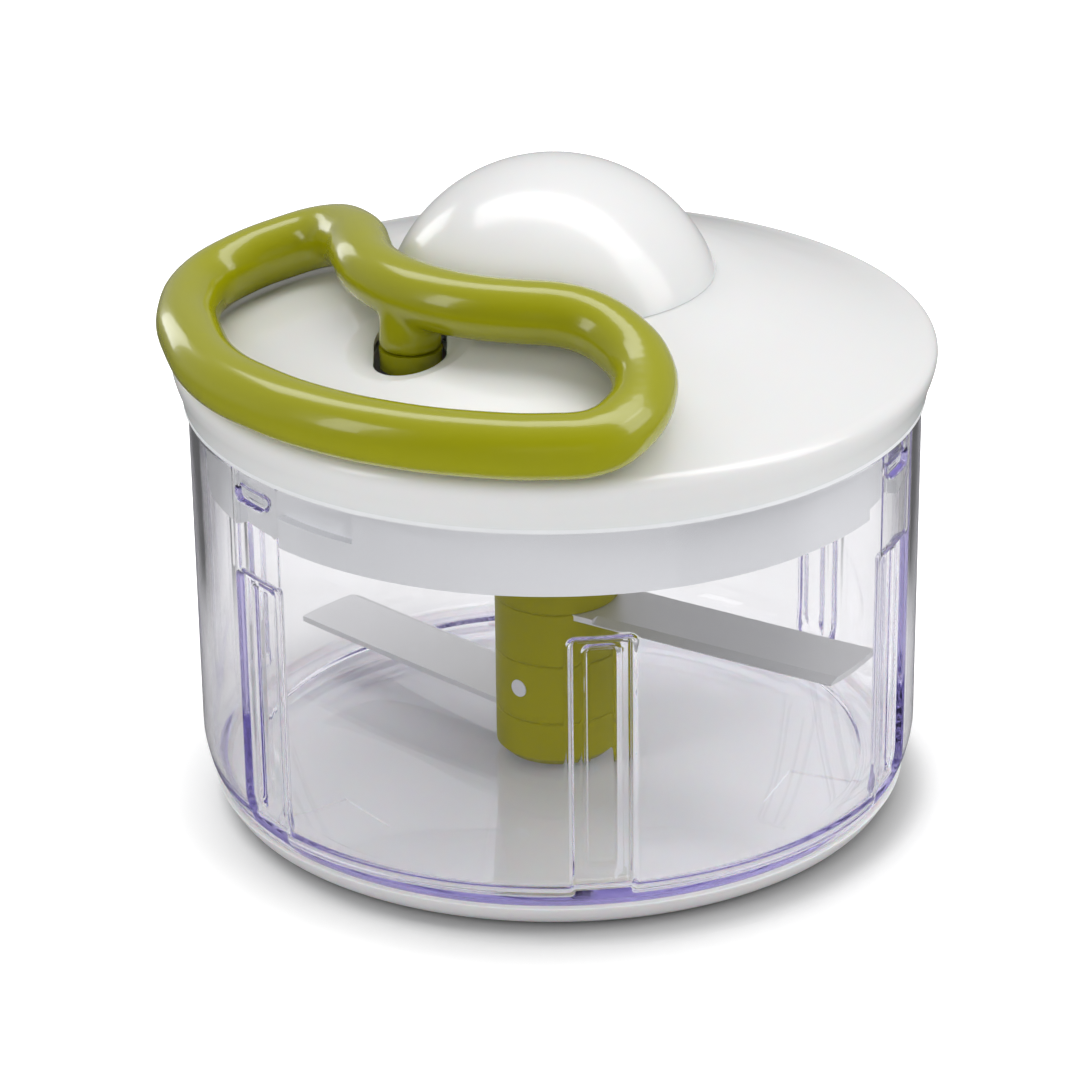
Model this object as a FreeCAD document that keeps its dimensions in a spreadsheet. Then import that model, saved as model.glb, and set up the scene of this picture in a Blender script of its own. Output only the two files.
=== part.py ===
import FreeCAD, Part
import math
import os
import re
import Sketcher

# A pull-cord food chopper: a ribbed clear bowl, a stack of blades on a floor pivot, and a two-part lid
# that holds a recoil reel. Pulling the loop handle unwinds the cord and turns the blades.
# Millimetres, +Z up, origin on the bowl's axis at the foot's underside. Angles are counter-clockwise
# from -Y, seen from above.

os.makedirs("parts", exist_ok=True)
doc = FreeCAD.newDocument("pull_cord_chopper")

SIZES = {
    # how far a cutting outline runs past the face that it cuts
    "over_cut": 1,
    # bowl: everything round follows the rim's radius, and everything on the lid the rim's height
    "bowl_rim_radius": 71.9, "bowl_rim_top": 84.2, "bowl_wall": 1.8, "wall_draft": 0.46,
    "corner_width": 5.44, "corner_height": 10.6, "corner_lip": 2.2, "corner_lip_rise": 0.6,
    "floor_bottom": 4.4, "floor_thick": 1.9, "floor_corner": 4.9, "floor_corner_reach": 3,
    "post_radius": 4, "post_foot_radius": 7, "post_foot_high": 0.3, "post_clear": 6.3, "post_chamfer": 1,
    # rib channels
    "rib_count": 6, "rib_start_angle": 6.5, "rib_wide_angle": 10.7, "rib_deep_angle": 7.2,
    "rib_step_depth": 0.9, "rib_inset": 1.14, "rib_below_rim": 21.7, "rib_deep_drop": 2.7,
    "rib_bottom_rise": 7.6, "rib_side_angle": 1,
    # bayonet
    "lug_count": 3, "lug_angle": 64.7, "lug_length": 10.7, "lug_height": 2.5, "lug_below_rim": 4.7,
    "rib_rise": 1, "rib_toe": 1.5, "lug_sink": 0.5, "lug_draft": 0.4,
    "lug_reach": 3, "lug_wall": 1.5, "lug_hollow_share": 0.86, "track_gap": 0.4, "entry_slack": 3,
    "lock_turn": 16,
    # foot
    "foot_spread": 1.2, "foot_lap": 1.3,
    # lid
    "edge_overhang": 0.95, "lid_flare": 2.15, "rim_rise": 7.8, "shoulder_inset": 1.2,
    "shoulder_rise": 1.45, "rim_share": 0.75, "rim_band": 6.4, "rim_band_rise": 3.2, "cone_rise": 12.4,
    "collar_thicken": 1.6, "cone_thicken": 1.06, "rim_thicken": 1.5,
    "cone_bulge": 0.36, "lid_wall": 2, "dome_radius": 31.6, "dome_seat": 0.4,
    "dome_height": 22, "dome_wall": 1.8, "collar_depth": 4.2, "collar_width": 2,
    # lid base
    "skirt_gap": 1.4, "skirt_wall": 3.5, "skirt_depth": 13.9, "flange_thick": 0.8, "plate_below_rim": 7.2,
    "plate_thick": 2.5, "seal_below_rim": 1.4, "seal_height": 1.4, "seal_depth": 1.2,
    "seal_bite": 0.3, "seal_lip": 0.8, "screw_count": 4, "screw_inset": 10.7, "screw_radius": 1.5,
    "screw_head_radius": 3, "screw_head_high": 1.6, "boss_radius": 4, "boss_rise": 0.7,
    "boss_top_rise": 1.8, "screw_short": 2.8,
    # drive
    "shaft_radius": 4, "running_gap": 0.06, "part_gap": 0.3, "bush_wall": 2, "bush_flange": 1.2,
    "clip_thick": 0.8, "clip_width": 1.6, "ratchet_clear": 0.9, "ratchet_radius": 13,
    "ratchet_wall": 1.6, "ratchet_floor": 1.4, "ratchet_height": 5, "ratchet_teeth": 12,
    "tooth_depth": 0.8, "tooth_root": 0.4, "dog_reach": 2.6, "dog_height": 5, "dog_angle": 18,
    "dog_count": 2, "dog_root": 1, "dog_clear": 1, "socket_angle": 56,
    # reel
    "reel_clear": 0.8, "reel_height": 11, "reel_radius": 24, "reel_flange": 1.3, "core_radius": 14.9,
    "winding_radius": 22.6, "axle_radius": 2.5, "axle_head": 1.6, "axle_head_thick": 1.2,
    "axle_clear": 1.4, "pawl_height": 2.4, "pawl_gap": 0.4, "pawl_angle": 50, "pawl_count": 3,
    "cup_radius": 27, "cup_wall": 1.5, "cup_clear": 0.6, "cup_roof": 1.8, "spring_turns": 5,
    "spring_thick": 0.5, "spring_inner": 5, "spring_margin": 0.9,
    # cord outlet
    "stem_turn": 46.8, "stem_radius": 6.1, "stem_neck_radius": 5.7, "stem_rise": 6.7, "plug_length": 5.8,
    "plug_round": 2, "plug_floor": 1.6, "knot_room": 3.4, "knot_taper": 0.8, "cord_radius": 1,
    "cord_below_boss": 3, "hole_radius": 7.9, "hole_back": 0.8, "hole_front": 6.3,
    "outlet_boss_radius": 12.3, "outlet_boss_rise": 6.1, "outlet_boss_high": 7, "dish_radius": 12.2,
    "dish_depth": 2.6, "dish_left": 1.2, "dish_front": 6.7, "guide_radius": 8,
    "guide_thick": 3, "guide_drop": 6, "guide_throat": 2, "guide_lip": 2,
    # hub and blades
    "hub_radius": 12.5, "hub_clear": 0.6, "hub_round": 1.6, "hub_edge": 0.3, "hub_low_high": 9.5,
    "hub_spacer_low_high": 12.6, "hub_spacer_up_high": 11.3, "hub_drop": 5, "hub_neck_high": 6,
    "hub_neck_taper": 2, "hub_neck_radius": 9.4, "socket_depth": 10.5, "blade_width": 16.8,
    "blade_thick": 1.2, "blade_gap": 1.1, "blade_bevel": 2.7, "bevel_edge": 0.2, "upper_blade_angle": 57,
    "lower_blade_angle": -134.5, "pin_radius": 1.8, "pin_rise": 6.9, "pin_angle": -39.2,
    "pin_length": 6.2,
    # handle
    "grip_radius": 6.2, "grip_lift": 7.5, "loop_inset": 1.6, "loop_dome_gap": 5.9,
}

# Sizes that follow from the driving ones.
DERIVED = {
    "bowl_low_radius": "bowl_rim_radius - wall_draft",
    "bowl_low_height": "floor_bottom + corner_height",
    "bowl_inner": "bowl_low_radius - bowl_wall",
    "floor_radius": "bowl_low_radius - corner_width",
    "floor_top": "floor_bottom + floor_thick",
    "corner_inner": "floor_bottom + floor_corner",
    "rib_inner_radius": "bowl_inner - rib_inset",
    "rib_top": "bowl_rim_top - rib_below_rim",
    "rib_deep_top": "rib_top - rib_deep_drop",
    "rib_bottom": "floor_bottom + rib_bottom_rise",
    "lug_middle": "bowl_rim_top - lug_below_rim",
    "lug_inner": "bowl_rim_radius - bowl_wall - lug_reach",
    "lug_turn": "lug_length / bowl_rim_radius * 180 / pi",
    "foot_radius": "floor_radius + foot_spread",
    "lid_edge_radius": "bowl_rim_radius + edge_overhang",
    "lid_radius": "lid_edge_radius + lid_flare",
    "flange_bottom": "bowl_rim_top + part_gap",
    "parting_height": "flange_bottom + flange_thick",
    "lid_wide_height": "parting_height + rim_rise",
    "shoulder_radius": "lid_radius - shoulder_inset",
    "shoulder_height": "lid_wide_height + shoulder_rise",
    "cone_low_radius": "lid_radius - rim_band",
    "cone_low_height": "lid_wide_height + rim_band_rise",
    "dome_base_height": "cone_low_height + cone_rise",
    "cone_mid_radius": "(cone_low_radius + dome_radius) / 2",
    "cone_mid_height": "(cone_low_height + dome_base_height) / 2 + cone_bulge",
    "collar_radius": "dome_radius - dome_wall",
    "spigot_radius": "collar_radius - part_gap",
    "dome_top": "dome_base_height + dome_height",
    "dome_crown": "(dome_radius * dome_radius / dome_height + dome_height) / 2",
    "dome_centre": "dome_top - dome_crown",
    "inner_crown": "dome_crown - dome_wall",
    "spigot_inner": "spigot_radius - dome_wall",
    "skirt_radius": "bowl_rim_radius - bowl_wall - skirt_gap",
    "skirt_inner": "skirt_radius - skirt_wall",
    "skirt_bottom": "bowl_rim_top - skirt_depth",
    "plate_bottom": "bowl_rim_top - plate_below_rim",
    "plate_top": "plate_bottom + plate_thick",
    "seal_bottom": "bowl_rim_top - seal_below_rim",
    "seal_top": "seal_bottom + seal_height",
    "screw_circle": "skirt_radius - screw_inset",
    "boss_split": "parting_height + boss_rise",
    "boss_top": "cone_low_height + boss_top_rise",
    "screw_top": "cone_low_height - screw_short",
    "seal_inner": "skirt_radius - seal_depth + running_gap",
    "track_inner": "lug_inner - track_gap",
    "track_top": "lug_middle + lug_height / 2 + lug_wall + track_gap",
    "track_low": "lug_middle - lug_height / 2 - lug_wall - track_gap",
    "entry_angle": "lug_turn + entry_slack",
    "cup_roof_bottom": "dome_base_height - collar_depth",
    "cup_roof_top": "cup_roof_bottom + cup_roof",
    "axle_bore": "axle_radius + running_gap",
    "axle_head_radius": "axle_radius + axle_head",
    "bush_radius": "shaft_radius + running_gap + bush_wall",
    "ratchet_bottom": "plate_top + bush_flange + ratchet_clear",
    "ratchet_top": "ratchet_bottom + ratchet_height",
    "ratchet_bore": "ratchet_radius - ratchet_wall",
    "ratchet_inside": "ratchet_bottom + ratchet_floor",
    "axle_bottom": "ratchet_inside + axle_clear",
    "pawl_outer": "ratchet_bore - tooth_depth - pawl_gap",
    "reel_bottom": "ratchet_top + reel_clear",
    "reel_top": "reel_bottom + reel_height",
    "cup_bottom": "reel_top + cup_clear",
    "spring_outer": "cup_radius - cup_wall - spring_margin",
    "arbor_radius": "spring_inner - part_gap",
    "loop_inner": "dome_radius + loop_dome_gap",
    "loop_outer": "lid_radius - loop_inset",
    "stem_x": "-loop_inner * sin(stem_turn)",
    "stem_y": "-loop_inner * cos(stem_turn)",
    "stem_bottom": "cone_low_height + stem_rise",
    "plug_bottom": "stem_bottom - plug_length",
    "outlet_boss_top": "cone_low_height + outlet_boss_rise",
    "outlet_boss_bottom": "outlet_boss_top - outlet_boss_high",
    "slot_back": "stem_y - hole_back",
    "slot_front": "stem_y - hole_front",
    "dish_x": "stem_x - dish_left",
    "dish_y": "stem_y - dish_front",
    "cord_level": "outlet_boss_bottom - cord_below_boss",
    "leaving_radius": "winding_radius - cord_radius",
    "plug_bore": "cord_radius + running_gap",
    "post_bore": "post_radius + running_gap",
    "hub_bottom_height": "floor_top + hub_clear",
    "seam_low": "hub_bottom_height + hub_low_high",
    "seam_middle": "seam_low + hub_spacer_low_high",
    "seam_high": "seam_middle + hub_spacer_up_high",
    "post_top": "seam_high - post_clear",
    "hub_top": "plate_bottom - hub_drop",
    "hub_shoulder": "hub_top - hub_neck_high",
    "socket_bottom": "hub_top - socket_depth",
    "shaft_bottom": "socket_bottom + dog_clear",
    "blade_half": "blade_width / 2",
    "blade_reach": "rib_inner_radius - blade_gap",
    "blade_corner": "sqrt(blade_reach * blade_reach - blade_half * blade_half)",
    "pin_height": "seam_low + pin_rise",
}

sheet = doc.addObject("Spreadsheet::Sheet", "sizes")
for row, (name, value) in enumerate(SIZES.items(), start=1):
    sheet.set(f"A{row}", name)
    sheet.set(f"B{row}", str(value))
    sheet.setAlias(f"B{row}", name)
doc.recompute()


def bound(text, cells="sizes."):
    """The expression with derived sizes written out and each driving size pointing at its cell."""
    def written(found):
        word = found.group(0)
        if word in DERIVED:
            return "(" + bound(DERIVED[word], cells) + ")"
        return cells + word
    return re.sub(r"[a-z]+(_[a-z]+)+", written, str(text))


def size(text):
    """The value of an expression of sizes."""
    return float(sheet.evalExpression(bound(text, cells="")))


def polar(radius, angle):
    """A point at a radius and an angle from -Y."""
    turn = math.radians(angle)
    return radius * math.sin(turn), -radius * math.cos(turn)


def start_body(label):
    body = doc.addObject("PartDesign::Body", label)
    body.Label = label
    return body


def place(piece, x="0", y="0", z="0", angle="0"):
    """Bind a piece's placement: a shift, and a turn about the vertical axis."""
    piece.setExpression("Placement.Base.x", bound(x))
    piece.setExpression("Placement.Base.y", bound(y))
    piece.setExpression("Placement.Base.z", bound(z))
    piece.setExpression("Placement.Rotation.Angle", bound(angle))


def start_sketch(body, role, height="0"):
    """A sketch on one of the body's own origin planes, shifted along its normal."""
    sketch = body.newObject("Sketcher::SketchObject", "outline")
    plane = next(item for item in body.Origin.OriginFeatures if item.Role == role)
    sketch.AttachmentSupport = [(plane, "")]
    sketch.MapMode = "FlatFace"
    sketch.setExpression("AttachmentOffset.Base.z", bound(height))
    return sketch


def pin_point(sketch, edge, end, x, y):
    """Fix one end of an edge at x and y, both expressions of sizes."""
    for axis, kind, text in ((-2, "DistanceX", x), (-1, "DistanceY", y)):
        if str(text) == "0":
            sketch.addConstraint(Sketcher.Constraint("PointOnObject", edge, end, axis))
            continue
        name = f"{kind}_{edge}_{end}"
        index = sketch.addConstraint(Sketcher.Constraint(kind, -1, 1, edge, end, size(text)))
        sketch.renameConstraint(index, name)
        sketch.setExpression("Constraints." + name, bound(text))


def draw_outline(sketch, points):
    """A closed outline. A point may also hold a radius: an arc then leads to the next point,
    turning left (counter-clockwise) when its fourth entry is 1 and right when it is -1."""
    ends = []
    for number, point in enumerate(points):
        after = points[(number + 1) % len(points)]
        start = FreeCAD.Vector(size(point[0]), size(point[1]), 0)
        stop = FreeCAD.Vector(size(after[0]), size(after[1]), 0)
        if len(point) == 2:
            sketch.addGeometry(Part.LineSegment(start, stop), False)
            ends.append((1, 2))
            continue
        radius, turn = size(point[2]), point[3]
        chord = stop - start
        rise = math.sqrt(max(radius ** 2 - chord.Length ** 2 / 4, 0))
        side = FreeCAD.Vector(-chord.y, chord.x, 0).normalize() * turn
        centre = (start + stop) * 0.5 + side * rise
        circle = Part.Circle(centre, FreeCAD.Vector(0, 0, 1), radius)
        first, last = (start, stop) if turn == 1 else (stop, start)
        angles = [math.atan2(end.y - centre.y, end.x - centre.x) for end in (first, last)]
        sketch.addGeometry(Part.ArcOfCircle(circle, *angles), False)
        name = f"Radius_{number}"
        index = sketch.addConstraint(Sketcher.Constraint("Radius", number, radius))
        sketch.renameConstraint(index, name)
        sketch.setExpression("Constraints." + name, bound(point[2]))
        ends.append((1, 2) if turn == 1 else (2, 1))
    for number, point in enumerate(points):
        after = (number + 1) % len(points)
        joint = Sketcher.Constraint("Coincident", number, ends[number][1], after, ends[after][0])
        sketch.addConstraint(joint)
        pin_point(sketch, number, ends[number][0], point[0], point[1])


def turn_profile(body, points, kind="Revolution", angle="360", middle=None):
    """Turn a profile (radius, height) about the vertical axis, all round or over a sector that is
    centred on the sketch's plane and then set at the middle angle."""
    sketch = start_sketch(body, "XZ_Plane")
    if middle is not None:
        upright = FreeCAD.Vector(0, 1, 0)
        turn = FreeCAD.Rotation(upright, size(middle) - 90)
        sketch.AttachmentOffset = FreeCAD.Placement(FreeCAD.Vector(0, 0, 0), turn)
        sketch.setExpression("AttachmentOffset.Rotation.Angle", bound(middle) + " - 90")
    draw_outline(sketch, points)
    feature = body.newObject("PartDesign::" + kind, kind.lower())
    feature.Profile = sketch
    feature.ReferenceAxis = (sketch, ["V_Axis"])
    feature.setExpression("Angle", bound(angle))
    feature.Midplane = middle is not None
    return feature


def repeat_round(body, features, count):
    """Repeat features of a body evenly about the vertical axis."""
    pattern = body.newObject("PartDesign::PolarPattern", "round")
    pattern.Originals = features
    pattern.Axis = (next(item for item in body.Origin.OriginFeatures if item.Role == "Z_Axis"), [""])
    pattern.Angle = 360
    pattern.setExpression("Occurrences", bound(count))
    body.Tip = pattern
    return pattern


def pocket(body, points, bottom, depth, kind="Pocket"):
    """Cut (or pad) a plan outline upwards from a height."""
    sketch = start_sketch(body, "XY_Plane", bottom)
    draw_outline(sketch, points)
    feature = body.newObject("PartDesign::" + kind, kind.lower())
    feature.Profile = sketch
    feature.setExpression("Length", bound(depth))
    feature.Reversed = kind == "Pocket"
    return feature


def circle_feature(body, x, y, radius, bottom, depth, kind):
    """A round pad, or a round hole cut upwards from a height."""
    sketch = start_sketch(body, "XY_Plane", bottom)
    middle = FreeCAD.Vector(size(x), size(y), 0)
    sketch.addGeometry(Part.Circle(middle, FreeCAD.Vector(0, 0, 1), size(radius)), False)
    pin_point(sketch, 0, 3, x, y)
    index = sketch.addConstraint(Sketcher.Constraint("Radius", 0, size(radius)))
    sketch.renameConstraint(index, "Radius_0")
    sketch.setExpression("Constraints.Radius_0", bound(radius))
    feature = body.newObject("PartDesign::" + kind, kind.lower())
    feature.Profile = sketch
    feature.setExpression("Length", bound(depth))
    feature.Reversed = kind == "Pocket"
    return feature


# ---- bowl: a clear moulded tub with six rib channels, three hollow lugs and a pivot post ----
bowl = start_body("bowl")
turn_profile(bowl, [
    ("0", "floor_bottom"),
    ("floor_radius", "floor_bottom"),
    ("floor_radius + corner_lip", "floor_bottom + corner_lip_rise"),
    ("bowl_low_radius", "bowl_low_height"),
    ("bowl_rim_radius", "bowl_rim_top"),
    ("bowl_rim_radius - bowl_wall", "bowl_rim_top"),
    ("bowl_inner", "bowl_low_height"),
    ("bowl_inner - floor_corner_reach", "corner_inner"),
    ("floor_radius - floor_corner_reach", "floor_top"),
    ("post_foot_radius", "floor_top"),
    ("post_radius", "floor_top + post_foot_high"),
    ("post_radius", "post_top - post_chamfer"),
    ("post_radius - post_chamfer", "post_top"),
    ("0", "post_top"),
])
rib_body = turn_profile(bowl, [
    ("rib_inner_radius", "corner_inner + rib_rise"),
    ("bowl_inner - rib_toe", "corner_inner"),
    ("bowl_inner + rib_rise", "corner_inner + 2 * rib_toe"),
    ("bowl_inner + rib_rise", "rib_top + bowl_wall + rib_rise"),
    ("rib_inner_radius", "rib_top"),
], angle="rib_wide_angle + 2 * rib_side_angle", middle="rib_start_angle")
rib_channel = turn_profile(bowl, [
    ("bowl_low_radius - rib_step_depth", "rib_bottom"),
    ("bowl_rim_radius + 2 * over_cut", "rib_bottom - rib_rise"),
    ("bowl_rim_radius + 2 * over_cut", "rib_top + rib_rise"),
    ("bowl_low_radius - rib_step_depth", "rib_top"),
], kind="Groove", angle="rib_wide_angle", middle="rib_start_angle")
rib_deep = turn_profile(bowl, [
    ("bowl_low_radius - 2 * rib_step_depth", "rib_bottom + rib_rise"),
    ("bowl_rim_radius + over_cut", "rib_bottom"),
    ("bowl_rim_radius + over_cut", "rib_deep_top + rib_rise"),
    ("bowl_low_radius - 2 * rib_step_depth", "rib_deep_top"),
], kind="Groove", angle="rib_deep_angle", middle="rib_start_angle")
repeat_round(bowl, [rib_body, rib_channel, rib_deep], "rib_count")

# The lugs reach inwards into the lid's tracks and are hollow from outside.
lug = turn_profile(bowl, [
    ("lug_inner", "lug_middle - lug_height / 2"),
    ("bowl_rim_radius - lug_sink", "lug_middle - lug_height / 2 - lug_wall"),
    ("bowl_rim_radius - lug_sink", "lug_middle + lug_height / 2 + lug_wall"),
    ("lug_inner", "lug_middle + lug_height / 2"),
], angle="lug_turn", middle="lug_angle")
lug_hollow = turn_profile(bowl, [
    ("lug_inner + lug_wall", "lug_middle - lug_height / 2 + lug_draft"),
    ("bowl_rim_radius + over_cut", "lug_middle - lug_height / 2"),
    ("bowl_rim_radius + over_cut", "lug_middle + lug_height / 2"),
    ("lug_inner + lug_wall", "lug_middle + lug_height / 2 - lug_draft"),
], kind="Groove", angle="lug_turn * lug_hollow_share", middle="lug_angle")
repeat_round(bowl, [lug, lug_hollow], "lug_count")

# ---- foot: a milky rubber pad under the whole floor, lapped up the bowl's lower edge ----
foot = start_body("nonslip_base")
turn_profile(foot, [
    ("0", "0"),
    ("foot_radius", "0"),
    ("floor_radius + corner_lip + foot_lap", "floor_bottom + corner_lip_rise"),
    ("floor_radius + corner_lip", "floor_bottom + corner_lip_rise"),
    ("floor_radius", "floor_bottom"),
    ("0", "floor_bottom"),
])

# ---- lid base: plate, skirt with three bayonet tracks, seal groove and flange ----
lid_base = start_body("lid_base")
turn_profile(lid_base, [
    ("bush_radius", "plate_bottom"),
    ("skirt_inner", "plate_bottom"),
    ("skirt_inner", "skirt_bottom"),
    ("skirt_radius", "skirt_bottom"),
    ("skirt_radius", "seal_bottom"),
    ("skirt_radius - seal_depth", "seal_bottom"),
    ("skirt_radius - seal_depth", "seal_top"),
    ("skirt_radius", "seal_top"),
    ("skirt_radius", "flange_bottom"),
    ("lid_edge_radius", "flange_bottom"),
    ("lid_edge_radius", "parting_height"),
    ("skirt_inner", "parting_height"),
    ("skirt_inner", "plate_top"),
    ("bush_radius", "plate_top"),
])
# A lug enters a track from below and then runs along it as the lid is turned shut.
track_entry = turn_profile(lid_base, [
    ("track_inner", "skirt_bottom - over_cut"),
    ("skirt_radius + over_cut", "skirt_bottom - over_cut"),
    ("skirt_radius + over_cut", "track_top"),
    ("track_inner", "track_top"),
], kind="Groove", angle="entry_angle", middle="lug_angle")
track_run = turn_profile(lid_base, [
    ("track_inner", "track_low"),
    ("skirt_radius + over_cut", "track_low"),
    ("skirt_radius + over_cut", "track_top"),
    ("track_inner", "track_top"),
], kind="Groove", angle="entry_angle + lock_turn", middle="lug_angle + lock_turn / 2")
repeat_round(lid_base, [track_entry, track_run], "lug_count")
screw_boss = circle_feature(lid_base, "0", "-screw_circle", "boss_radius", "plate_top",
                            "boss_split - plate_bottom - plate_thick", "Pad")
screw_hole = circle_feature(lid_base, "0", "-screw_circle", "screw_radius + running_gap",
                            "plate_bottom - over_cut", "boss_split - plate_bottom + 2 * over_cut", "Pocket")
repeat_round(lid_base, [screw_boss, screw_hole], "screw_count")

# ---- lid seal: a soft ring round the skirt, just inside the bowl's rim ----
lid_seal = start_body("lid_seal")
turn_profile(lid_seal, [
    ("seal_inner", "seal_bottom + running_gap"),
    ("skirt_radius + seal_bite", "seal_bottom + running_gap"),
    ("skirt_radius + seal_bite + seal_lip", "seal_bottom + seal_height / 2"),
    ("skirt_radius + seal_bite", "seal_top - running_gap"),
    ("seal_inner", "seal_top - running_gap"),
])

# ---- lid cover: the white top shell, from the parting line over the shoulder to the dome's collar ----
lid_cover = start_body("lid_cover")
turn_profile(lid_cover, [
    ("lid_edge_radius", "parting_height"),
    ("lid_edge_radius + lid_flare * rim_share", "parting_height + rim_rise / 2"),
    ("lid_radius", "lid_wide_height"),
    ("lid_radius - shoulder_inset / 4", "lid_wide_height + shoulder_rise * rim_share"),
    ("shoulder_radius", "shoulder_height"),
    ("cone_low_radius", "cone_low_height"),
    ("cone_mid_radius", "cone_mid_height"),
    ("dome_radius - dome_seat", "dome_base_height"),
    ("collar_radius", "dome_base_height"),
    ("collar_radius", "cup_roof_bottom"),
    ("collar_radius + collar_width", "cup_roof_bottom"),
    ("collar_radius + collar_width", "dome_base_height - collar_thicken * lid_wall"),
    ("cone_mid_radius", "cone_mid_height - cone_thicken * lid_wall"),
    ("shoulder_radius - rim_thicken * lid_wall", "shoulder_height - lid_wall"),
    ("lid_radius - lid_wall", "lid_wide_height - shoulder_rise"),
    ("lid_edge_radius - lid_wall + lid_flare * rim_share", "parting_height + rim_rise / 2"),
    ("lid_edge_radius - lid_wall", "parting_height"),
])
cover_boss = circle_feature(lid_cover, "0", "-screw_circle", "boss_radius", "boss_split",
                            "boss_top - boss_split", "Pad")
cover_hole = circle_feature(lid_cover, "0", "-screw_circle", "screw_radius", "boss_split - over_cut",
                            "screw_top - boss_split + 2 * over_cut", "Pocket")
repeat_round(lid_cover, [cover_boss, cover_hole], "screw_count")
outlet_boss = circle_feature(lid_cover, "dish_x", "(slot_back + slot_front) / 2", "outlet_boss_radius",
                             "outlet_boss_bottom", "outlet_boss_high", "Pad")
pocket(lid_cover, [
    ("stem_x - hole_radius", "slot_back"),
    ("stem_x - hole_radius", "slot_front", "hole_radius", 1),
    ("stem_x", "slot_front - hole_radius", "hole_radius", 1),
    ("stem_x + hole_radius", "slot_front"),
    ("stem_x + hole_radius", "slot_back", "hole_radius", 1),
    ("stem_x", "slot_back + hole_radius", "hole_radius", 1),
], "outlet_boss_bottom - over_cut", "3 * outlet_boss_high")
dish = lid_cover.newObject("PartDesign::SubtractiveCone", "dish")
dish.setExpression("Radius1", bound("hole_radius"))
dish.setExpression("Radius2", bound("hole_radius + 2 * (dish_radius - hole_radius)"))
dish.setExpression("Height", bound("2 * dish_depth"))
dish.setExpression("AttachmentOffset.Base.x", bound("dish_x"))
dish.setExpression("AttachmentOffset.Base.y", bound("dish_y"))
dish.setExpression("AttachmentOffset.Base.z", bound("outlet_boss_top - dish_depth"))
dish.AttachmentSupport = [(next(f for f in lid_cover.Origin.OriginFeatures if f.Role == "XY_Plane"), "")]
dish.MapMode = "FlatFace"
lid_cover.Tip = dish

# ---- dome cap: closes the reel's well and drops inside the cover's collar ----
dome_cap = start_body("dome_cap")
DOME_BANDS = 8

outside = [(f"dome_radius * {step} / {DOME_BANDS}",
            f"dome_centre + sqrt(dome_crown * dome_crown"
            f" - dome_radius * dome_radius * {step * step} / {DOME_BANDS * DOME_BANDS})")
           for step in range(1, DOME_BANDS)]
inside = [(f"spigot_inner * {step} / {DOME_BANDS}",
           f"dome_centre + sqrt(inner_crown * inner_crown"
           f" - spigot_inner * spigot_inner * {step * step} / {DOME_BANDS * DOME_BANDS})")
          for step in range(DOME_BANDS, 0, -1)]
turn_profile(dome_cap, [
    ("0", "dome_top - dome_wall"),
    ("0", "dome_top"),
    *outside,
    ("dome_radius", "dome_base_height"),
    ("spigot_radius", "dome_base_height"),
    ("spigot_radius", "dome_base_height - collar_depth / 2"),
    ("spigot_inner", "dome_base_height - collar_depth / 2"),
    *inside,
])

# ---- reel housing: the spring's cup hangs in the collar and carries the reel's steel axle ----
spring_cup = start_body("spring_cup")
turn_profile(spring_cup, [
    ("axle_bore", "cup_roof_bottom"),
    ("cup_radius - cup_wall", "cup_roof_bottom"),
    ("cup_radius - cup_wall", "cup_bottom"),
    ("cup_radius", "cup_bottom"),
    ("cup_radius", "cup_roof_bottom"),
    ("spigot_radius", "cup_roof_bottom"),
    ("spigot_radius", "cup_roof_top"),
    ("axle_bore", "cup_roof_top"),
])

reel_axle = start_body("reel_axle")
turn_profile(reel_axle, [
    ("0", "axle_bottom"),
    ("axle_head_radius", "axle_bottom"),
    ("axle_head_radius", "reel_bottom - part_gap"),
    ("axle_radius", "reel_bottom - part_gap"),
    ("axle_radius", "cup_roof_top"),
    ("axle_head_radius", "cup_roof_top"),
    ("axle_head_radius", "cup_roof_top + axle_head_thick"),
    ("0", "cup_roof_top + axle_head_thick"),
])

reel_drum = start_body("reel_drum")
turn_profile(reel_drum, [
    ("axle_bore", "reel_bottom"),
    ("reel_radius", "reel_bottom"),
    ("reel_radius", "reel_bottom + reel_flange"),
    ("core_radius", "reel_bottom + reel_flange"),
    ("core_radius", "reel_top - reel_flange"),
    ("reel_radius", "reel_top - reel_flange"),
    ("reel_radius", "reel_top"),
    ("arbor_radius", "reel_top"),
    ("arbor_radius", "cup_roof_bottom - part_gap"),
    ("axle_bore", "cup_roof_bottom - part_gap"),
])

cord_winding = start_body("cord_winding")
turn_profile(cord_winding, [
    ("core_radius + running_gap", "reel_bottom + reel_flange + running_gap"),
    ("winding_radius", "reel_bottom + reel_flange + running_gap"),
    ("winding_radius", "reel_top - reel_flange - running_gap"),
    ("core_radius + running_gap", "reel_top - reel_flange - running_gap"),
])

clutch_pawls = start_body("clutch_pawls")
pawl = turn_profile(clutch_pawls, [
    ("axle_head_radius + part_gap", "reel_bottom - pawl_height"),
    ("pawl_outer", "reel_bottom - pawl_height"),
    ("pawl_outer", "reel_bottom"),
    ("axle_head_radius + part_gap", "reel_bottom"),
], angle="pawl_angle", middle="0")
repeat_round(clutch_pawls, [pawl], "pawl_count")

# ---- recoil spring: a flat steel spiral between the reel's arbor and the cup's wall ----
spring_feature = doc.addObject("Part::Feature", "recoil_spring")


def spiral(start_radius, growth):
    """A flat spiral of half circles, each wider than the last by the growth, about two centres."""
    arcs = []
    for number in range(int(2 * size("spring_turns"))):
        side = 1 if number % 2 == 0 else -1
        centre = 0 if side == 1 else growth
        radius = start_radius + number * growth
        arcs.append(Part.Arc(
            FreeCAD.Vector(centre + side * radius, 0, 0),
            FreeCAD.Vector(centre, side * radius, 0),
            FreeCAD.Vector(centre - side * radius, 0, 0)).toShape())
    return arcs


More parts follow.
